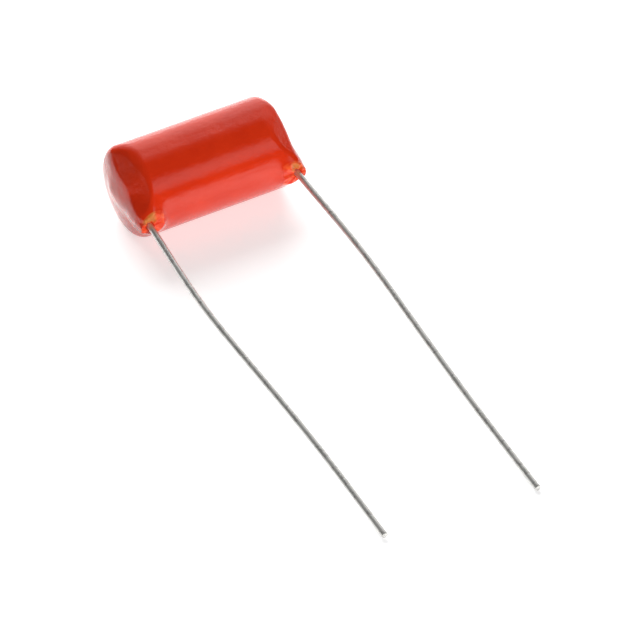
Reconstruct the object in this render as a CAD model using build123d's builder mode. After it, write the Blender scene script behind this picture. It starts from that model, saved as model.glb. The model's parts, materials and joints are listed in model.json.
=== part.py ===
"""Film capacitor with radial leads: a flattened roll of film and foil, sprayed with metal on
both ends, a wire soldered across each end, and the whole dipped in epoxy.

Millimetres, +Z up. The capacitor lies on its side, as it comes to rest: the body's underside and
the tips of the leads touch the plane z = 0, the body's long axis is along X and the leads point
towards -Y. The origin is at the middle of the footprint.
"""

from build123d import *
import os
from math import asin, atan2, cos, degrees, hypot, radians, sin, tan

# ---------------------------------------------------------------- driving dimensions
# The roll
roll_thickness = 9.5  # across the flats, which is also the diameter of its rounded edges
roll_flat = 0.9  # straight stretch between the two rounded edges
roll_margin = 0.1  # step back of the sprayed metal from the roll's edge

# The ends
spray_thickness = 0.4  # metal sprayed on each end of the roll
spray_bevel = 0.35  # where that metal thins out towards its rim
solder_radius = 2.1  # solder mound round the wire, where it lies on the sprayed metal
solder_top_radius = 1.2
solder_cover = 0.25  # solder over the wire's back
solder_bed = 0.08  # solder between the wire and the sprayed metal

# The leads
wire_diameter = 0.81
lead_spacing = 20.8  # between the wires where they leave the body
wire_overlap = 3.2  # how far a wire reaches past the middle of the roll's end
lead_lengths = {"left": 58.0, "right": 59.6}  # from the collar's mouth to the cut tip
lead_bows = {"left": 0.85, "right": 0.55}  # how far each lead is splayed before it bends back
lead_tip_drifts = {"left": -0.4, "right": -0.3}  # each tip against its exit, outwards positive
bow_share = 0.25  # of a lead's length, where it turns back inwards
straight_share = 0.7  # of a lead's length, where it turns for its straight end
exit_bend_radius = 12.0  # where a lead leaves its collar
arc_share = 0.45  # of the shorter run beside it, taken up by each of the other bends

# The dipped coating
coat_thickness = 1.0  # round the roll
coat_over_wire = 1.0  # at the middle of each end, over the back of the wire
end_radius = 17.0  # of the ball that each domed end is part of
taut_rises = {"left": 35.0, "right": 41.0}  # degrees, how far the flat drawn at each end faces up
taut_sweeps = {"left": 17.0, "right": 36.0}  # degrees, how far it faces forwards
taut_covers = {"left": 0.3, "right": 0.2}  # coating over the roll's rim under that flat
rim_radius = 1.25  # rounding between a domed end and the rounded sides
crest_radius = 0.5  # rounding of the fold round each flat
sleeve_radius = 1.3  # of the coating round each wire, from its solder joint to the torn mouth
sleeve_fillet = 0.5  # where it leaves the body
collar_length = 0.6  # of the sleeve beyond the body's front
collar_hollow = 0.55  # how deep the torn mouth opens round the wire
collar_wall = 0.4  # of the sleeve at its mouth
tear_count = 5  # notches in its rim
tear_depth = 0.55
tear_width = 1.0
tear_scatter = 25.0  # degrees, most that a notch stands from its even place
tear_unevenness = 0.35  # share by which the notches differ in depth and width

# ---------------------------------------------------------------- derived sizes
wire_radius = wire_diameter / 2
lead_x = lead_spacing / 2
spray_face = lead_x - wire_radius - solder_bed
roll_length = 2 * (spray_face - spray_thickness)
body_thickness = roll_thickness + 2 * coat_thickness
body_width = body_thickness + roll_flat
body_length = lead_spacing + wire_diameter + 2 * coat_over_wire
front = body_width / 2
mouth = front + collar_length
reach = mouth + max(lead_lengths.values())

# The body rolls forward until the longer lead's tip touches the ground.
roll_centre = body_thickness / 2
tip_arm = hypot(reach - roll_flat / 2, wire_radius)
slope = asin(roll_centre / tip_arm) - atan2(wire_radius, reach - roll_flat / 2)
back_edge = roll_centre + roll_flat / 2 * cos(slope)
tip_edge = reach * cos(slope) + wire_radius * sin(slope)
rest = Location(
    (0, (tip_edge - back_edge) / 2, roll_centre + roll_flat / 2 * sin(slope)),
    (degrees(slope), 0, 0),
)
sides = {"left": -1, "right": 1}


def taut_flat(name):
    """The plane to which the coating is drawn between the roll's rim and a lead."""
    rise, sweep_angle = radians(taut_rises[name]), radians(taut_sweeps[name])
    ahead = cos(rise) * sin(sweep_angle)
    facing = Vector(sides[name] * cos(rise) * cos(sweep_angle), -ahead, sin(rise))
    over_roll = (
        abs(facing.X) * roll_length / 2
        + ahead * roll_flat / 2
        + hypot(facing.Z, ahead) * roll_thickness / 2
    )
    return Plane(facing * (over_roll + taut_covers[name]), z_dir=facing)


def resting(plane):
    """A plane of the capacitor's own frame, whose origin is the body's centre, laid to rest."""
    return Plane(rest * plane.location)


def finish(piece, name):
    piece.part.label = name
    export_step(piece.part, f"parts/{name}.step")
    return piece.part


def bend_radii(points):
    """The small bend at a wire's exit, then arcs as large as its runs allow."""
    radii = [exit_bend_radius]
    for before, corner, after in zip(points[1:], points[2:], points[3:]):
        run_in = Vector(*corner) - Vector(*before)
        run_out = Vector(*after) - Vector(*corner)
        turn = radians(run_in.get_angle(run_out))
        radii.append(arc_share * min(run_in.length, run_out.length) / tan(turn / 2))
    return radii


os.makedirs("parts", exist_ok=True)

# ---------------------------------------------------------------- the wound roll
with BuildPart() as film_winding:
    with BuildSketch(resting(Plane.YZ)):
        SlotCenterToCenter(roll_flat, roll_thickness)
    extrude(amount=roll_length / 2, both=True)
inner_pieces = [finish(film_winding, "film_winding")]

for name, side in sides.items():
    end_plane = Plane.YZ.offset(side * roll_length / 2)

    # ------------------------------------------------------------ metal sprayed on the end
    with BuildPart() as end_spray:
        with BuildSketch(resting(end_plane)):
            SlotCenterToCenter(roll_flat, roll_thickness - 2 * roll_margin)
        extrude(amount=side * spray_thickness)
        rim = end_spray.faces().sort_by(Axis.X)[-1 if side > 0 else 0].edges()
        chamfer(rim, spray_bevel)
    inner_pieces.append(finish(end_spray, f"end_spray_{name}"))

    # ------------------------------------------------------------ tinned wire
    x_exit = side * lead_x
    x_bow = side * (lead_x + lead_bows[name])
    x_tip = side * (lead_x + lead_tip_drifts[name])
    length = lead_lengths[name]
    bow_at = mouth + bow_share * length
    straight_at = mouth + straight_share * length
    route = [
        (x_exit, wire_overlap),
        (x_exit, -mouth - wire_diameter),
        (x_bow, -bow_at),
        (x_tip, -straight_at),
        (x_tip, -mouth - length),
    ]
    with BuildPart() as lead:
        with BuildLine(resting(Plane.XY)) as wire_line:
            FilletPolyline(*route, radius=bend_radii(route))
        with BuildSketch(Plane(wire_line.line @ 0, z_dir=wire_line.line % 0)):
            Circle(wire_radius)
        sweep()
    print(name, "bend radii", [round(radius, 1) for radius in bend_radii(route)])
    inner_pieces.append(finish(lead, f"lead_{name}"))

    # ------------------------------------------------------------ solder over the wire
    with BuildPart() as solder_joint:
        with Locations(resting(Plane((side * spray_face, 0, 0), z_dir=(side, 0, 0)))):
            Cone(
                solder_radius,
                solder_top_radius,
                solder_bed + wire_diameter + solder_cover,
                align=(Align.CENTER, Align.CENTER, Align.MIN),
            )
        add(lead.part, mode=Mode.SUBTRACT)
    inner_pieces.append(finish(solder_joint, f"solder_joint_{name}"))

# ---------------------------------------------------------------- the dipped coating
with BuildPart() as epoxy_coating:
    with BuildSketch(resting(Plane.YZ)):
        SlotCenterToCenter(roll_flat, body_thickness)
    extrude(amount=body_length / 2, both=True)
    for side in sides.values():
        with Locations(resting(Plane((side * (body_length / 2 - end_radius), 0, 0)))):
            Sphere(end_radius, rotation=(0, 0, 90), mode=Mode.INTERSECT)
    long_edges = epoxy_coating.edges().filter_by(Axis.X)
    fillet(epoxy_coating.edges() - long_edges, rim_radius)

    # The coating is drawn taut between the roll's rim and each wire
    for name in sides:
        taut_plane = resting(taut_flat(name))
        split(bisect_by=taut_plane, keep=Keep.BOTTOM)
        drawn_flat = epoxy_coating.faces().sort_by(Axis(taut_plane.origin, taut_plane.z_dir))[-1]
        fillet(drawn_flat.edges(), crest_radius)

    # A sleeve round each wire, hollow at its torn mouth
    exits = [resting(Plane((side * lead_x, 0, 0), z_dir=(0, -1, 0))) for side in sides.values()]
    with Locations(exits):
        Cylinder(sleeve_radius, mouth, align=(Align.CENTER, Align.CENTER, Align.MIN))
    fillet(epoxy_coating.edges(Select.NEW), sleeve_fillet)
    mouths = [resting(Plane((side * lead_x, -mouth, 0), z_dir=(0, -1, 0))) for side in sides.values()]
    with Locations(mouths):
        Cone(
            wire_radius,
            sleeve_radius - collar_wall,
            collar_hollow,
            align=(Align.CENTER, Align.CENTER, Align.MAX),
            mode=Mode.SUBTRACT,
        )

    for side in sides.values():
        # Notches where the sleeve broke away, each with its own direction, depth and width
        for tear in range(tear_count):
            angle = radians(360 / tear_count * tear + tear_scatter * sin(3 * tear + side))
            depth = tear_depth * (1 + tear_unevenness * sin(5 * tear + 2 * side))
            width = tear_width * (1 + tear_unevenness * cos(4 * tear + side))
            outwards = (cos(angle), 0, sin(angle))
            notch_plane = Plane(
                (side * lead_x + wire_radius * cos(angle), -mouth, wire_radius * sin(angle)),
                x_dir=(sin(angle), 0, -cos(angle)),
                z_dir=outwards,
            )
            with BuildSketch(resting(notch_plane)):
                with BuildLine():
                    Polyline(
                        (-width / 2, -collar_wall),
                        (width / 2, -collar_wall),
                        (0, depth),
                        close=True,
                    )
                make_face()
            extrude(amount=sleeve_radius, mode=Mode.SUBTRACT)

    for piece in inner_pieces:
        add(piece, mode=Mode.SUBTRACT)
finish(epoxy_coating, "epoxy_coating")
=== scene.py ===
"""Dresses the film capacitor: the dipped coating with its torn collars, the two tinned wires and the
finish of the pieces inside, on a plain white table in soft studio light.
"""

import json
import math

import bpy
import numpy as np
from mathutils import Matrix, Vector


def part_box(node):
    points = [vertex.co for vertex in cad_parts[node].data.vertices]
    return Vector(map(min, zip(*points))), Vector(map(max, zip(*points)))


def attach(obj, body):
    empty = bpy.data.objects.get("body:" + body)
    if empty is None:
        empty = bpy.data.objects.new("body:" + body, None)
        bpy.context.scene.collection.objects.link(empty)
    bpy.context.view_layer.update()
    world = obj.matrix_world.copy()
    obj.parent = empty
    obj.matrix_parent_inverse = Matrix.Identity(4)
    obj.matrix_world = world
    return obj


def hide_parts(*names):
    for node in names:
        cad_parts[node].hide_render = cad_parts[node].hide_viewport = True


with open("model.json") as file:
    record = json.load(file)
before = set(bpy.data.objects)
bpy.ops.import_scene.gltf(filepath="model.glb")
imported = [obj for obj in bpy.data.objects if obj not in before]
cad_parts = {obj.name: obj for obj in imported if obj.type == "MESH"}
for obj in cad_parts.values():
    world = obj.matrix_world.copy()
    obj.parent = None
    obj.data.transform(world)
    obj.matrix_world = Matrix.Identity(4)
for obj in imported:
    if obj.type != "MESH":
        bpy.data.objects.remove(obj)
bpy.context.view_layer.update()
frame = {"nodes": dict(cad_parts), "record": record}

MM = 0.001

# ---------------------------------------------------------------- the capacitor's own frame
# Its origin is the body's centre, X runs along the body and -Y the way the leads point.
pins = {mount["name"]: mount for mount in frame["record"]["mounts"]}
wire_radius = pins["lead_left_pin"]["dims"]["r_mm"] * MM
roll_low, roll_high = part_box("film_winding")
centre = np.array((roll_low + roll_high) / 2)
backwards = -Vector(pins["lead_left_pin"]["axis"]).normalized()
outwards = Vector((1, 0, 0)).cross(backwards)
AXES = np.array([(1, 0, 0), backwards, outwards])


def to_own(points):
    return (np.asarray(points) - centre) @ AXES.T


def to_row(points):
    return np.asarray(points) @ AXES + centre


def node_points(node):
    """A CAD node's vertices in the capacitor's own frame."""
    return to_own([vertex.co for vertex in frame["nodes"][node].data.vertices])


# ---------------------------------------------------------------- sizes, from the frame
slope_sin, slope_cos = backwards.z, backwards.y
roll_size = roll_high - roll_low
roll_flat = (roll_size.y - roll_size.z) / (slope_cos - slope_sin)
coat_points = node_points("epoxy_coating")
body_radius = coat_points[:, 2].max()
half_length = coat_points[:, 0].max()
ROLL_NODES = ("film_winding", "end_spray_left", "end_spray_right")
roll_points = np.concatenate([node_points(node) for node in ROLL_NODES])
front = body_radius + roll_flat / 2
mouth = -coat_points[:, 1].min()

# The dipped body
DIP_MARGIN = 0.03 * MM  # the coating stays this far inside the CAD solid
DIP_WAVE = 0.035 * MM  # how uneven the dip is
DIP_WAVELENGTH = 9 * MM
WAVE_COUNT = 7
DOME_RADIUS = 17 * MM  # of the domed ends
DOME_BEHIND = 0.25 * MM  # how far their middles stay behind the CAD solid's ends
RIM_CORNER = 0.9 * MM  # rounding between the side and an end
CREST_CORNER = 0.33 * MM  # rounding of the fold that runs down to a wire
CREST_STARTS = (-1 * MM, 0)  # forwards and upwards of the middle, where that fold sharpens
CREST_ENDS = (4 * MM, 2 * MM)
# Side of the body, then degrees by which each flat faces up and forwards
FLAT_ANGLES = ((-1, 34, 0), (-1, 29, 19), (1, 46, 35))
FLAT_BLEND = 0.3 * MM
FLAT_COVER = 0.2 * MM  # coating left over the roll's rim under a flat

# The rib that the coating makes over each wire
RIB_RADIUS = 1.15 * MM
RIB_BEHIND = 0.68 * MM  # how far it stays behind the CAD solid's ends
RIB_REACH = 1.2 * MM  # how far it reaches past the middle of the end
RIB_BLEND = 1.6 * MM

# The fillet that the dip left round each collar
FOOT_RADIUS = 0.8 * MM
FOOT_BLEND = 2.6 * MM
FOOT_INSIDE = 0.5 * MM  # its axis against the wire's, towards the body's middle
FOOT_BEHIND = 0.6 * MM  # its end against the body's front
FOOT_LENGTH = 1 * MM

# The torn collars
COLLAR_RADIUS = 1.25 * MM
COLLAR_FOOT = 1.2 * MM  # how far behind the body's front a collar begins
COLLAR_BLEND = 0.35 * MM
COLLAR_FLATNESS = 0.12  # how much lower than wide a collar is
COLLAR_LOBES = ((0.09, 3), (0.05, 7))  # share of the radius, and number of lobes round the wire
TEAR_TOP = 0.25 * MM  # how far the collar is broken back above its wire
TEAR_BOTTOM = -0.35  # least that the sine of the angle counts for in that
TEAR_RAGGED = 0.16 * MM
TEAR_TEETH = ((1, 3.5), (0.5, 6.5))  # height, and half the number of teeth round the wire
RAG_COUNT = 6
RAG_HEIGHT = 0.3
RAG_SHARE = 0.6  # of the slow rags against the teeth
MOUTH_RADIUS = 0.6 * MM
MOUTH_DEPTH = 0.28 * MM
TORN_FROM, TORN_TO = -0.3 * MM, 0.15 * MM  # forwards of the body's front, where the coating is broken
TORN_WIDTH = 2 * MM  # on either side of a wire
OCHRE_ABOVE = (0.4 * MM, 0.8 * MM)  # over the wire, where the broken coating is ochre
OCHRE_BESIDE = (1.1 * MM, 0.5 * MM)  # beside the wire, where that begins and is full

GRID_STEP = 0.125 * MM
PULLS = 3  # times that the mesh is drawn onto the surface
LEAST_SLOPE = 0.2  # of the field squared, in that
rng = np.random.default_rng(7)


# ---------------------------------------------------------------- the coating's surface
def smooth_min(a, b, width):
    share = np.clip(0.5 + 0.5 * (b - a) / width, 0, 1)
    return b + (a - b) * share - width * share * (1 - share)


def smooth_max(a, b, width):
    return -smooth_min(-a, -b, width)


def rounded_max(a, b, radius):
    """Where both are below zero, with their meeting edge rounded."""
    corner = np.hypot(np.maximum(a + radius, 0), np.maximum(b + radius, 0))
    return corner + np.minimum(np.maximum(a, b) + radius, 0) - radius


def taut_flat(side, rise, sweep):
    """Normal and reach of a plane to which the coating is drawn between the roll's rim and a wire."""
    rise, sweep = math.radians(rise), math.radians(sweep)
    ahead = math.cos(rise) * math.sin(sweep)
    normal = np.array([side * math.cos(rise) * math.cos(sweep), -ahead, math.sin(rise)])
    return normal, (roll_points @ normal).max() + FLAT_COVER


def rod(x, y, z, low, high, radius):
    """Distance to a rod with round ends, along Y from low to high through x = z = 0."""
    return np.sqrt(x**2 + (y - np.clip(y, low, high)) ** 2 + z**2) - radius


def ease(value, start, end):
    share = np.clip((value - start) / (end - start), 0, 1)
    return share**2 * (3 - 2 * share)


def body_field(x, y, z):
    """The dipped roll: a slot section, domed ends, taut flats, and a rib and a foot at each wire."""
    across = np.abs(x)
    side = np.hypot(np.maximum(np.abs(y) - roll_flat / 2, 0), z) - body_radius + DIP_MARGIN
    dome = half_length - DOME_BEHIND - DOME_RADIUS
    end = np.sqrt((across - dome) ** 2 + y**2 + z**2) - DOME_RADIUS
    for normal, reach in flats:
        flat = x * normal[0] + y * normal[1] + z * normal[2] - reach + DIP_MARGIN
        end = smooth_max(end, flat, FLAT_BLEND)
    sharp = ease(-y, CREST_STARTS[0], CREST_ENDS[0]) * ease(z, CREST_STARTS[1], CREST_ENDS[1])
    field = rounded_max(side, end, RIM_CORNER + (CREST_CORNER - RIM_CORNER) * sharp)
    rib_x = half_length - RIB_RADIUS - RIB_BEHIND
    rib = rod(across - rib_x, y, z, COLLAR_FOOT - front, RIB_REACH, RIB_RADIUS)
    field = smooth_min(field, rib, RIB_BLEND)
    foot_x = wire_exits[1] - FOOT_INSIDE
    foot_end = FOOT_BEHIND - front
    foot = rod(across - foot_x, y, z, foot_end, foot_end + FOOT_LENGTH, FOOT_RADIUS)
    return smooth_min(field, foot, FOOT_BLEND)


def waviness(x, y, z):
    """Slow waves that the dip left."""
    total = np.zeros_like(x)
    for wave, (kx, ky, kz, phase) in enumerate(WAVES):
        total += np.sin(kx * x + ky * y + kz * z + phase) / (1 + wave * 0.2)
    return total / len(WAVES)


WAVES = np.hstack([
    rng.normal(0, 2 * math.pi / DIP_WAVELENGTH, (WAVE_COUNT, 3)),
    rng.uniform(0, 2 * math.pi, (WAVE_COUNT, 1)),
])
RAGS = rng.uniform(0, 2 * math.pi, (2, RAG_COUNT))


def collar_rim(side, angle):
    """How far out the torn collar reaches at an angle round its wire."""
    phases = RAGS[0 if side < 0 else 1]
    rags = sum(
        math.sin(phase) * RAG_HEIGHT * np.sin((2 + k) * angle + phase)
        for k, phase in enumerate(phases)
    )
    teeth = sum(
        height * np.abs(np.sin(half_count * angle + phase))
        for (height, half_count), phase in zip(TEAR_TEETH, phases)
    )
    broken = TEAR_TOP * np.clip(np.sin(angle), TEAR_BOTTOM, 1) ** 2
    return mouth - DIP_MARGIN - broken - TEAR_RAGGED * (RAG_SHARE * rags + teeth)


def collar_fields(side, x, y, z, wire_x):
    """The torn collar round one wire, the face where it broke, and the hollow inside it."""
    dx = x - wire_x
    radial = np.hypot(dx, z)
    angle = np.arctan2(z, dx)
    rim = collar_rim(side, angle)
    lobes = sum(
        height * np.sin(count * angle + phase)
        for (height, count), phase in zip(COLLAR_LOBES, (RAGS[0, 2], RAGS[1, 3]))
    )
    outer = COLLAR_RADIUS * (1 - COLLAR_FLATNESS * np.abs(np.sin(angle)) + lobes)
    sleeve = np.maximum(radial - outer, -rim - y)
    sleeve = np.maximum(sleeve, y + front - COLLAR_FOOT)
    depth = y + rim
    hollow = radial - MOUTH_RADIUS + depth * (MOUTH_RADIUS - wire_radius) / MOUTH_DEPTH
    torn_face = np.where(radial < 2 * COLLAR_RADIUS, -depth, -COLLAR_RADIUS)
    return sleeve, torn_face, np.maximum(hollow, depth - MOUTH_DEPTH)


def coat_field(points):
    """Below zero inside the coating, above zero outside; points are in the capacitor's own frame."""
    x, y, z = points[..., 0], points[..., 1], points[..., 2]
    field = body_field(x, y, z)
    for side, wire_x in wire_exits.items():
        sleeve, torn_face, hollow = collar_fields(side, x, y, z, wire_x)
        near = np.maximum(smooth_min(field, sleeve, COLLAR_BLEND), torn_face)
        field = np.maximum(near, -hollow)
    return field + DIP_WAVE * (1 + waviness(x, y, z))


def gradient(points, step=0.02 * MM):
    """Direction in which the field grows, by differences."""
    slopes = []
    for axis in range(3):
        shift = np.zeros(3)
        shift[axis] = step
        slopes.append(coat_field(points + shift) - coat_field(points - shift))
    return np.stack(slopes, -1) / (2 * step)


def surface_net(low, high, step):
    """Vertices and quads of the field's zero surface on a regular grid."""
    axes = [np.arange(a, b, step) for a, b in zip(low, high)]
    shape = [len(axis) for axis in axes]
    field = np.empty(shape)
    for i, x in enumerate(axes[0]):
        grid = np.stack(np.meshgrid([x], axes[1], axes[2], indexing="ij"), -1)
        field[i] = coat_field(grid)[0]
    inside = field < 0
    cells = [size - 1 for size in shape]
    total = np.zeros((*cells, 3))
    count = np.zeros(cells)
    index = np.stack(np.meshgrid(*[np.arange(size) for size in cells], indexing="ij"), -1)
    corners = [np.array(corner) for corner in np.ndindex(2, 2, 2)]

    def at(array, corner):
        return array[tuple(slice(c, c + size) for c, size in zip(corner, cells))]

    for first in corners:
        for axis in range(3):
            if first[axis]:
                continue
            second = first.copy()
            second[axis] = 1
            a, b = at(field, first), at(field, second)
            crossing = at(inside, first) != at(inside, second)
            share = np.where(crossing, a / np.where(crossing, a - b, 1), 0)
            place = index + first + share[..., None] * (second - first)
            total += place * crossing[..., None]
            count += crossing
    used = count > 0
    number = -np.ones(cells, int)
    number[used] = np.arange(used.sum())
    vertices = np.array([axis[0] for axis in axes]) + total[used] / count[used][:, None] * step

    quads = []
    for axis in range(3):
        u, v = (axis + 1) % 3, (axis + 2) % 3
        span = [slice(1, -1)] * 3
        span[axis] = slice(0, -1)
        ahead = list(span)
        ahead[axis] = slice(1, None)
        here, there = inside[tuple(span)], inside[tuple(ahead)]
        places = np.argwhere(here != there)
        flipped = there[tuple(places.T)]
        places[:, u] += 1
        places[:, v] += 1
        ring = []
        for du, dv in ((0, 0), (1, 0), (1, 1), (0, 1)):
            cell = places.copy()
            cell[:, u] -= du
            cell[:, v] -= dv
            ring.append(number[tuple(cell.T)])
        ring = np.stack(ring, 1)
        ring[flipped] = ring[flipped][:, ::-1]
        quads.append(ring)
    return vertices, np.concatenate(quads)


def mesh_object(name, points, faces, normals=None):
    mesh = bpy.data.meshes.new(name)
    mesh.from_pydata(to_row(points).tolist(), [], [list(map(int, face)) for face in faces])
    mesh.polygons.foreach_set("use_smooth", [True] * len(mesh.polygons))
    mesh.update()
    if normals is not None:
        mesh.normals_split_custom_set_from_vertices((normals @ AXES).tolist())
    piece = bpy.data.objects.new(name, mesh)
    bpy.context.scene.collection.objects.link(piece)
    return piece


def point_value(piece, name, values):
    attribute = piece.data.attributes.new(name, "FLOAT", "POINT")
    attribute.data.foreach_set("value", np.asarray(values, np.float32))


def make_coating():
    low = np.array([-half_length, -mouth, -body_radius]) - 3 * GRID_STEP
    high = np.array([half_length, front, body_radius]) + 3 * GRID_STEP
    points, quads = surface_net(low, high, GRID_STEP)
    for _ in range(PULLS):
        slope = gradient(points)
        steepness = np.maximum((slope**2).sum(-1), LEAST_SLOPE)
        points -= slope * (coat_field(points) / steepness)[:, None]
    slope = gradient(points)
    normals = slope / np.linalg.norm(slope, axis=1)[:, None]
    piece = mesh_object("dipped_coating", points, quads, normals)
    torn, ochre = np.zeros(len(points)), np.zeros(len(points))
    for wire_x in wire_exits.values():
        beside = np.abs(points[:, 0] - wire_x)
        torn += ease(-points[:, 1], front + TORN_FROM, front + TORN_TO) * (beside < TORN_WIDTH)
        ochre += ease(points[:, 2], *OCHRE_ABOVE) * ease(-beside, -OCHRE_BESIDE[0], -OCHRE_BESIDE[1])
    point_value(piece, "torn", torn)
    point_value(piece, "ochre", torn * ochre)
    return piece


# ---------------------------------------------------------------- the wires
TUBE_SIDES = 40
RING_GAP = 0.2 * MM  # the CAD wire's rings stand further apart than this
TUBE_STEP = 0.35 * MM
# The cutters leave a small chamfer and a slightly dished end
CHAMFER_DEPTH = 0.06 * MM
CHAMFER_SHARE = 0.9  # of the radius that the chamfer leaves
DISH_DEPTH = 0.05 * MM
DISH_SHARE = 0.35  # of the radius, for the dish's floor


def wire_centres(node):
    """The middle of each ring of vertices along a CAD wire, from the body outwards."""
    points = node_points(node)
    points = points[np.argsort(-points[:, 1])]
    breaks = np.where(-np.diff(points[:, 1]) > RING_GAP)[0] + 1
    return np.array([ring.mean(0) for ring in np.split(points, breaks)])


def smooth_line(points, step):
    """A curve through the points, sampled evenly."""
    along = np.concatenate([[0], np.cumsum(np.linalg.norm(np.diff(points, axis=0), axis=1))])
    tangents = np.gradient(points, along, axis=0)
    places = np.linspace(0, along[-1], int(along[-1] / step) + 1)
    spans = np.clip(np.searchsorted(along, places, side="right") - 1, 0, len(points) - 2)
    width = (along[spans + 1] - along[spans])[:, None]
    t = (places - along[spans])[:, None] / width
    return (
        (2 * t**3 - 3 * t**2 + 1) * points[spans]
        + (t**3 - 2 * t**2 + t) * width * tangents[spans]
        + (3 * t**2 - 2 * t**3) * points[spans + 1]
        + (t**3 - t**2) * width * tangents[spans + 1]
    )


def make_wire(node):
    line = smooth_line(wire_centres(node), TUBE_STEP)
    tangent = np.gradient(line, axis=0)
    tangent /= np.linalg.norm(tangent, axis=1)[:, None]
    across = np.cross(tangent, (0, 0, 1))
    across /= np.linalg.norm(across, axis=1)[:, None]
    up = np.cross(across, tangent)
    radius = np.full(len(line), wire_radius)
    line = np.concatenate([line, line[-1:], line[-1:] - DISH_DEPTH * tangent[-1:]])
    line[-3] -= tangent[-1] * CHAMFER_DEPTH
    radius = np.concatenate([radius, [wire_radius * CHAMFER_SHARE, wire_radius * DISH_SHARE]])
    across = np.concatenate([across, across[-1:], across[-1:]])
    up = np.concatenate([up, up[-1:], up[-1:]])
    turns = np.linspace(0, 2 * math.pi, TUBE_SIDES, endpoint=False)
    ring = np.cos(turns)[None, :, None] * across[:, None] + np.sin(turns)[None, :, None] * up[:, None]
    points = (line[:, None] + ring * radius[:, None, None]).reshape(-1, 3)
    faces = []
    last = (len(line) - 1) * TUBE_SIDES
    for here in range(0, last, TUBE_SIDES):
        ahead = here + TUBE_SIDES
        for j in range(TUBE_SIDES):
            k = (j + 1) % TUBE_SIDES
            faces.append((here + j, here + k, ahead + k, ahead + j))
    faces.append([last + j for j in range(TUBE_SIDES)])
    faces.append(list(reversed(range(TUBE_SIDES))))
    return mesh_object(node.replace("lead", "tinned_wire"), points, faces)


# ---------------------------------------------------------------- materials
def material(name):
    made = bpy.data.materials.new(name)
    made.use_nodes = True
    tree = made.node_tree
    shader = next(node for node in tree.nodes if node.type == "BSDF_PRINCIPLED")
    return made, tree, shader


def add_node(tree, kind, **inputs):
    node = tree.nodes.new(kind)
    for name, value in inputs.items():
        node.inputs[name.replace("_", " ")].default_value = value
    return node


def object_coordinates(tree, scale=(1, 1, 1)):
    place = tree.nodes.new("ShaderNodeTexCoord")
    mapping = tree.nodes.new("ShaderNodeMapping")
    mapping.inputs["Scale"].default_value = scale
    tree.links.new(place.outputs["Object"], mapping.inputs["Vector"])
    return mapping.outputs["Vector"]


def noise(tree, vector, scale, detail=4, rough=0.5):
    node = add_node(tree, "ShaderNodeTexNoise", Scale=scale, Detail=detail, Roughness=rough)
    tree.links.new(vector, node.inputs["Vector"])
    return node.outputs["Fac"]


def ramp(tree, value, stops):
    node = tree.nodes.new("ShaderNodeValToRGB")
    while len(node.color_ramp.elements) < len(stops):
        node.color_ramp.elements.new(0.5)
    for element, (place, colour) in zip(node.color_ramp.elements, stops):
        element.position = place
        element.color = (*colour, 1) if len(colour) == 3 else colour
    tree.links.new(value, node.inputs["Fac"])
    return node.outputs["Color"]


def mix_colour(tree, factor, a, b):
    node = tree.nodes.new("ShaderNodeMix")
    node.data_type = "RGBA"
    tree.links.new(factor, node.inputs["Factor"])
    for socket, colour in ((node.inputs["A"], a), (node.inputs["B"], b)):
        if isinstance(colour, tuple):
            socket.default_value = (*colour, 1)
        else:
            tree.links.new(colour, socket)
    return node.outputs["Result"]


def spread(tree, value, low, high, to_low, to_high):
    node = add_node(tree, "ShaderNodeMapRange")
    tree.links.new(value, node.inputs["Value"])
    node.inputs["From Min"].default_value = low
    node.inputs["From Max"].default_value = high
    node.inputs["To Min"].default_value = to_low
    node.inputs["To Max"].default_value = to_high
    return node.outputs["Result"]


def bump(tree, height, strength, distance, normal=None):
    node = add_node(tree, "ShaderNodeBump", Strength=strength, Distance=distance)
    tree.links.new(height, node.inputs["Height"])
    if normal is not None:
        tree.links.new(normal, node.inputs["Normal"])
    return node.outputs["Normal"]


EPOXY_RED = (0.69, 0.032, 0.005)
EPOXY_DEEP = (0.63, 0.026, 0.004)
EPOXY_TORN = (0.86, 0.095, 0.02)
EPOXY_OCHRE = (0.52, 0.16, 0.028)


def epoxy_material():
    """Glossy dip coat with slow colour drift; matt, more orange and ochre where it broke."""
    made, tree, shader = material("epoxy")
    place = object_coordinates(tree)
    drift = ramp(tree, noise(tree, place, 180, 3), ((0.35, EPOXY_DEEP), (0.65, EPOXY_RED)))
    crumbs = noise(tree, place, 1300, 5, 0.6)
    broken = ramp(tree, crumbs, ((0.42, EPOXY_RED), (0.6, EPOXY_TORN)))
    torn, ochre = (tree.nodes.new("ShaderNodeAttribute") for _ in range(2))
    torn.attribute_name, ochre.attribute_name = "torn", "ochre"
    patches = ramp(tree, noise(tree, place, 700, 3), ((0.4, (0.2, 0.2, 0.2)), (0.55, (1, 1, 1))))
    bare = tree.nodes.new("ShaderNodeMath")
    bare.operation = "MULTIPLY"
    tree.links.new(ochre.outputs["Fac"], bare.inputs[0])
    tree.links.new(patches, bare.inputs[1])
    broken = mix_colour(tree, bare.outputs["Value"], broken, EPOXY_OCHRE)
    edge = spread(tree, torn.outputs["Fac"], 0.25, 0.75, 0, 1)
    tree.links.new(mix_colour(tree, edge, drift, broken), shader.inputs["Base Color"])
    tree.links.new(spread(tree, edge, 0, 1, 0.09, 0.45), shader.inputs["Roughness"])
    peel = bump(tree, noise(tree, place, 420, 2), 0.25, 0.04 * MM)
    rough = bump(tree, crumbs, 0.6, 0.12 * MM, peel)
    tree.links.new(rough, shader.inputs["Normal"])
    shader.inputs["IOR"].default_value = 1.45
    shader.inputs["Coat Weight"].default_value = 0.4
    shader.inputs["Coat Roughness"].default_value = 0.05
    return made


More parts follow.
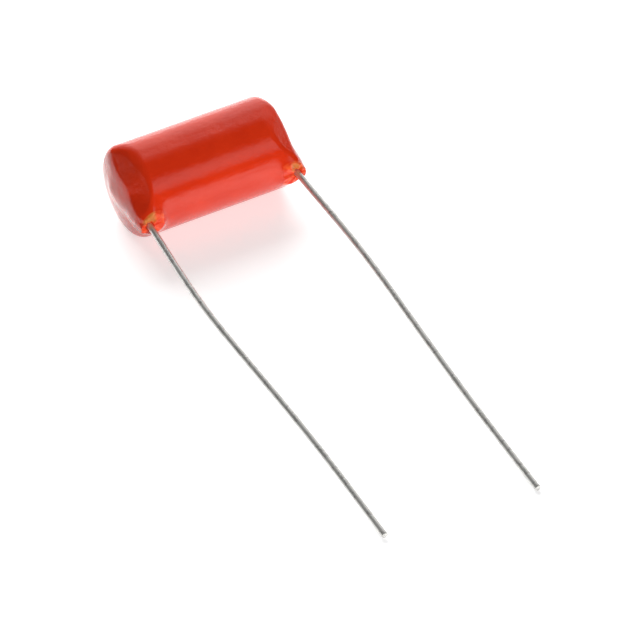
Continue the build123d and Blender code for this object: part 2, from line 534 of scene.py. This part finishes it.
def metal_material(name, pattern, tones, roughness, relief, metallic, lines=None):
    """Metal whose tone and roughness follow a noise, and whose relief follows it or the lines.

    A noise is given as a stretch of space, then its scale, detail and roughness.
    """
    made, tree, shader = material(name)

    def made_noise(stretch, *settings):
        return noise(tree, object_coordinates(tree, stretch), *settings)

    spots = made_noise(*pattern)
    height = made_noise(*lines) if lines else spots
    tree.links.new(ramp(tree, spots, tones), shader.inputs["Base Color"])
    tree.links.new(spread(tree, spots, 0.3, 0.7, *roughness), shader.inputs["Roughness"])
    tree.links.new(bump(tree, height, *relief), shader.inputs["Normal"])
    shader.inputs["Metallic"].default_value = metallic
    return made


def wire_material():
    """Tinned copper: satin, with fine drawing lines along the wire and dull spots."""
    return metal_material(
        "tinned_wire",
        pattern=((1, 1, 1), 700, 4),
        tones=((0.3, (0.66, 0.65, 0.62)), (0.7, (0.82, 0.81, 0.78))),
        roughness=(0.22, 0.36),
        relief=(0.35, 0.01 * MM),
        metallic=0.65,
        lines=((1, 0.02, 1), 9000, 3),
    )


def film_material():
    """The roll: turns of clear film over metal foil."""
    return metal_material(
        "film",
        pattern=((0.02, 1, 1), 4000, 2),
        tones=((0.4, (0.5, 0.51, 0.52)), (0.6, (0.72, 0.73, 0.74))),
        roughness=(0.15, 0.3),
        relief=(0.4, 0.02 * MM),
        metallic=0.6,
    )


def spray_material():
    """Sprayed zinc: dull grey grains."""
    return metal_material(
        "sprayed_metal",
        pattern=((1, 1, 1), 2500, 6, 0.7),
        tones=((0.35, (0.2, 0.2, 0.21)), (0.65, (0.42, 0.42, 0.43))),
        roughness=(0.5, 0.8),
        relief=(0.8, 0.08 * MM),
        metallic=0.9,
    )


def solder_material():
    """Solder: bright, with a faint frost."""
    return metal_material(
        "solder",
        pattern=((1, 1, 1), 1500, 4),
        tones=((0.3, (0.5, 0.5, 0.51)), (0.7, (0.66, 0.66, 0.66))),
        roughness=(0.12, 0.35),
        relief=(0.3, 0.03 * MM),
        metallic=1.0,
    )


def dress(piece, finish):
    piece.data.materials.clear()
    piece.data.materials.append(finish)


# ---------------------------------------------------------------- the pieces
wires = {side: f"lead_{name}" for side, name in ((-1, "left"), (1, "right"))}
wire_exits = {side: wire_centres(node)[0][0] for side, node in wires.items()}
flats = [taut_flat(*angles) for angles in FLAT_ANGLES]

coating = make_coating()
dress(coating, epoxy_material())
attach(coating, "root")
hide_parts("epoxy_coating")

tin = wire_material()
for node in wires.values():
    wire = make_wire(node)
    dress(wire, tin)
    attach(wire, "root")
    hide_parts(node)

spray, solder = spray_material(), solder_material()
inner = {"film_winding": film_material()}
for name in ("left", "right"):
    inner[f"end_spray_{name}"] = spray
    inner[f"solder_joint_{name}"] = solder
for node, finish in inner.items():
    dress(frame["nodes"][node], finish)


# ---------------------------------------------------------------- table, world, lamps, camera
TABLE_SIZE = 3.0
TABLE_GLOW = 0.6


def table_material():
    """Matt white. Seen directly or mirrored it glows a little, which leaves the shadow on it."""
    made, tree, shader = material("table")
    grain = noise(tree, object_coordinates(tree), 300, 3)
    tones = ((0.3, (0.81, 0.81, 0.81)), (0.7, (0.82, 0.82, 0.82)))
    tree.links.new(ramp(tree, grain, tones), shader.inputs["Base Color"])
    shader.inputs["Roughness"].default_value = 0.9
    shader.inputs["Specular IOR Level"].default_value = 0.1
    shader.inputs["Emission Color"].default_value = (1, 1, 1, 1)
    glow = tree.nodes.new("ShaderNodeMath")
    glow.operation = "MULTIPLY"
    glow.inputs[1].default_value = TABLE_GLOW
    tree.links.new(seen(tree), glow.inputs[0])
    tree.links.new(glow.outputs["Value"], shader.inputs["Emission Strength"])
    return made


def seen(tree, mirrored=True):
    """1 for what the camera sees directly and, if mirrored, also in gloss and through glass."""
    path = tree.nodes.new("ShaderNodeLightPath")
    value = path.outputs["Is Camera Ray"]
    for ray in ("Is Glossy Ray", "Is Transmission Ray") if mirrored else ():
        either = tree.nodes.new("ShaderNodeMath")
        either.operation = "MAXIMUM"
        tree.links.new(value, either.inputs[0])
        tree.links.new(path.outputs[ray], either.inputs[1])
        value = either.outputs["Value"]
    return value


def make_table():
    half = TABLE_SIZE / 2
    points = [(-half, -half, 0), (half, -half, 0), (half, half, 0), (-half, half, 0)]
    mesh = bpy.data.meshes.new("table")
    mesh.from_pydata(points, [], [(0, 1, 2, 3)])
    table = bpy.data.objects.new("table", mesh)
    bpy.context.scene.collection.objects.link(table)
    table.data.materials.append(table_material())


WORLD_LEVEL = 0.04
# Soft panels round the table: direction, inner and outer cosine, strength
PANELS = (
    ((0.52, 0.82, 0.24), 1.05, 0.6, 1.0),
    ((0.36, -0.71, 0.60), 0.995, 0.94, 0.85),
)


def make_world():
    """A dim room with soft white panels; the backdrop behind the table is white."""
    world = bpy.data.worlds.new("studio")
    world.use_nodes = True
    bpy.context.scene.world = world
    tree = world.node_tree
    background = tree.nodes["Background"]
    direction = tree.nodes.new("ShaderNodeTexCoord").outputs["Generated"]
    level = None
    for axis, inner, outer, strength in PANELS:
        dot = tree.nodes.new("ShaderNodeVectorMath")
        dot.operation = "DOT_PRODUCT"
        dot.inputs[1].default_value = Vector(axis).normalized()
        tree.links.new(direction, dot.inputs[0])
        panel = tree.nodes.new("ShaderNodeMapRange")
        panel.interpolation_type = "SMOOTHSTEP"
        panel.inputs["From Min"].default_value = outer
        panel.inputs["From Max"].default_value = inner
        panel.inputs["To Max"].default_value = strength
        tree.links.new(dot.outputs["Value"], panel.inputs["Value"])
        total = tree.nodes.new("ShaderNodeMath")
        tree.links.new(panel.outputs["Result"], total.inputs[0])
        if level is None:
            total.inputs[1].default_value = WORLD_LEVEL
        else:
            tree.links.new(level, total.inputs[1])
        level = total.outputs["Value"]
    white = tree.nodes.new("ShaderNodeMix")
    white.inputs["B"].default_value = 1.0
    tree.links.new(seen(tree, mirrored=False), white.inputs["Factor"])
    tree.links.new(level, white.inputs["A"])
    tree.links.new(white.outputs["Result"], background.inputs["Strength"])
    background.inputs["Color"].default_value = (1, 1, 1, 1)


LAMP_DISTANCE = 1.2
# Direction, diameter, power
LAMPS = {
    "back_lamp": ((0.2, 0.84, 0.5), 1.3, 24.0),
    "side_lamp": ((-0.99, -0.05, 0.0), 0.4, 2.5),
    "front_lamp": ((-0.05, -0.98, 0.07), 0.15, 13.5),
}


def add_lamp(name, direction, size, power):
    """A soft lamp, aimed at the body, that leaves no reflection of its own."""
    lamp = bpy.data.lights.new(name, "AREA")
    lamp.shape = "DISK"
    lamp.size = size
    lamp.energy = power
    holder = bpy.data.objects.new(name, lamp)
    bpy.context.scene.collection.objects.link(holder)
    towards = Vector(direction).normalized()
    holder.location = Vector(centre) + towards * LAMP_DISTANCE
    holder.rotation_euler = towards.to_track_quat("Z", "Y").to_euler()
    holder.visible_glossy = False


CAMERA_AZIMUTH, CAMERA_ELEVATION = math.radians(-29.12), math.radians(41.55)
CAMERA_DISTANCE = 1.0
CAMERA_AIM = (14.98 * MM, -19.0 * MM)  # right of and above the body's centre
CAMERA_CLIP = (0.05, 20)
SENSOR_WIDTH = 36
PIXELS_PER_MM = 8.07
PICTURE_WIDTH = 640


def make_camera():
    a, e = CAMERA_AZIMUTH, CAMERA_ELEVATION
    back = Vector((math.sin(a) * math.cos(e), -math.cos(a) * math.cos(e), math.sin(e)))
    right = Vector((math.cos(a), math.sin(a), 0))
    up = back.cross(right)
    data = bpy.data.cameras.new("camera")
    data.sensor_width = SENSOR_WIDTH
    data.lens = PIXELS_PER_MM / MM * CAMERA_DISTANCE / PICTURE_WIDTH * SENSOR_WIDTH
    data.clip_start, data.clip_end = CAMERA_CLIP
    camera = bpy.data.objects.new("camera", data)
    bpy.context.scene.collection.objects.link(camera)
    aim = Vector(centre) + right * CAMERA_AIM[0] + up * CAMERA_AIM[1]
    place = Matrix.Translation(aim + back * CAMERA_DISTANCE)
    camera.matrix_world = place @ Matrix((right, up, back)).transposed().to_4x4()
    bpy.context.scene.camera = camera


make_table()
make_world()
make_camera()
for name, settings in LAMPS.items():
    add_lamp(name, *settings)
bpy.context.scene.view_settings.view_transform = "Standard"
